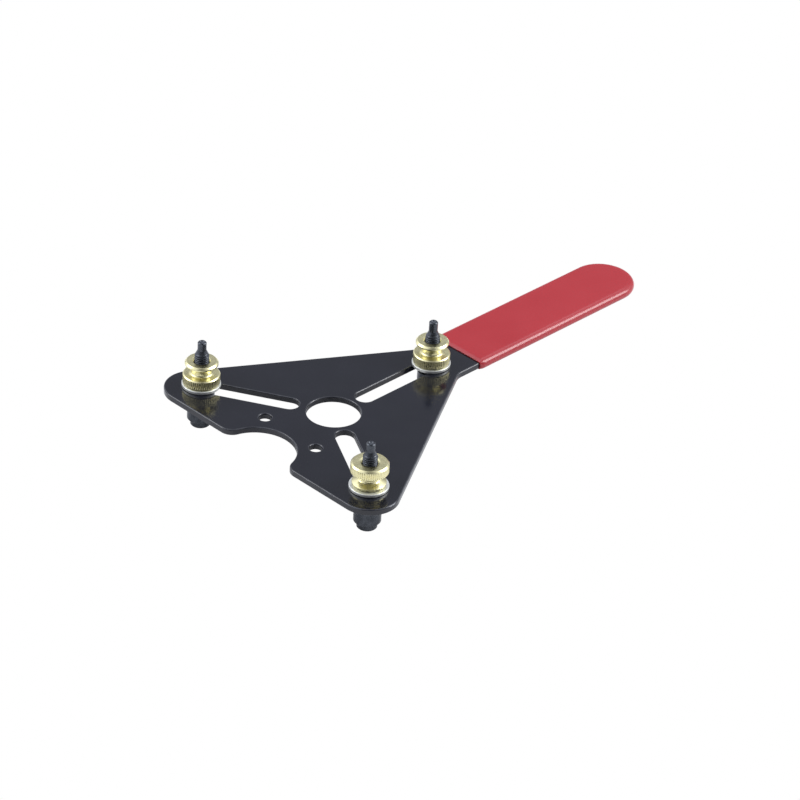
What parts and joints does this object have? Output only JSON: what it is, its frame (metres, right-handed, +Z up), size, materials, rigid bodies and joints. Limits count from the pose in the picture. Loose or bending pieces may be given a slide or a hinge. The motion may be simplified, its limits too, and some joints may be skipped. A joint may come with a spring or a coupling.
{
  "type": "adjustable three-pin spanner",
  "caption": "Flat three-slot spanner with a dipped grip; double-ended pins clamped by washers and brass thumb nuts slide in slots around a central hole.",
  "frame": {"origin": "the middle of the tool's footprint, on the surface that the three wide pin ends stand on", "axes": "+X along the handle towards its free end, +Z up out of the plate's top face, where the thumb nuts are"},
  "size_m": [0.2526, 0.1476, 0.0459],
  "materials": {
    "black_paint": "gloss charcoal enamel, worn light along the edges",
    "red_vinyl": "dipped soft vinyl, satin gloss",
    "black_oxide": "turned and black-oxided",
    "brass": "turned, satin, with a fine straight knurl",
    "zinc": "zinc plated"
  },
  "bodies": {
    "frame": {"plate": "black_paint", "grip": "red_vinyl"},
    "left_carriage": {"left_washer": "zinc"},
    "left_nut": {"left_thumb_nut": "brass"},
    "left_pin": {"left_pin": "black_oxide"},
    "right_carriage": {"right_washer": "zinc"},
    "right_nut": {"right_thumb_nut": "brass"},
    "right_pin": {"right_pin": "black_oxide"},
    "rear_carriage": {"rear_washer": "zinc"},
    "rear_nut": {"rear_thumb_nut": "brass"},
    "rear_pin": {"rear_pin": "black_oxide"}
  },
  "joints": [
    {"name": "left_slide", "type": "slide", "parent": "frame", "child": "left_carriage", "axis": [0.4901, -0.8716, 0], "range_m": [-0.0014, 0.044]},
    {"name": "left_nut_turn", "type": "hinge", "parent": "left_carriage", "child": "left_nut", "pos_m": [-0.10877, 0.05797, 0.02355], "axis": [0, 0, 1], "range_deg": [0, 1080]},
    {"name": "left_pin_drop", "type": "slide", "parent": "left_carriage", "child": "left_pin", "axis": [0, 0, -1], "range_m": [0, 0.003]},
    {"name": "right_slide", "type": "slide", "parent": "frame", "child": "right_carriage", "axis": [0.4901, 0.8716, 0], "range_m": [-0.0029, 0.0433]},
    {"name": "right_nut_turn", "type": "hinge", "parent": "right_carriage", "child": "right_nut", "pos_m": [-0.10895, -0.05615, 0.02355], "axis": [0, 0, 1], "range_deg": [0, 1080]},
    {"name": "right_pin_drop", "type": "slide", "parent": "right_carriage", "child": "right_pin", "axis": [0, 0, -1], "range_m": [0, 0.003]},
    {"name": "rear_slide", "type": "slide", "parent": "frame", "child": "rear_carriage", "axis": [-1, 0, 0], "range_m": [-0.0021, 0.0444]},
    {"name": "rear_nut_turn", "type": "hinge", "parent": "rear_carriage", "child": "rear_nut", "pos_m": [-0.0119, 0, 0.02355], "axis": [0, 0, 1], "range_deg": [0, 1080]},
    {"name": "rear_pin_drop", "type": "slide", "parent": "rear_carriage", "child": "rear_pin", "axis": [0, 0, -1], "range_m": [0, 0.003]}
  ],
  "couplings": [
    {"joint": "left_nut_turn", "follows": "left_pin_drop", "rad_per_m": 6283.2},
    {"joint": "right_nut_turn", "follows": "right_pin_drop", "rad_per_m": 6283.2},
    {"joint": "rear_nut_turn", "follows": "rear_pin_drop", "rad_per_m": 6283.2}
  ]
}
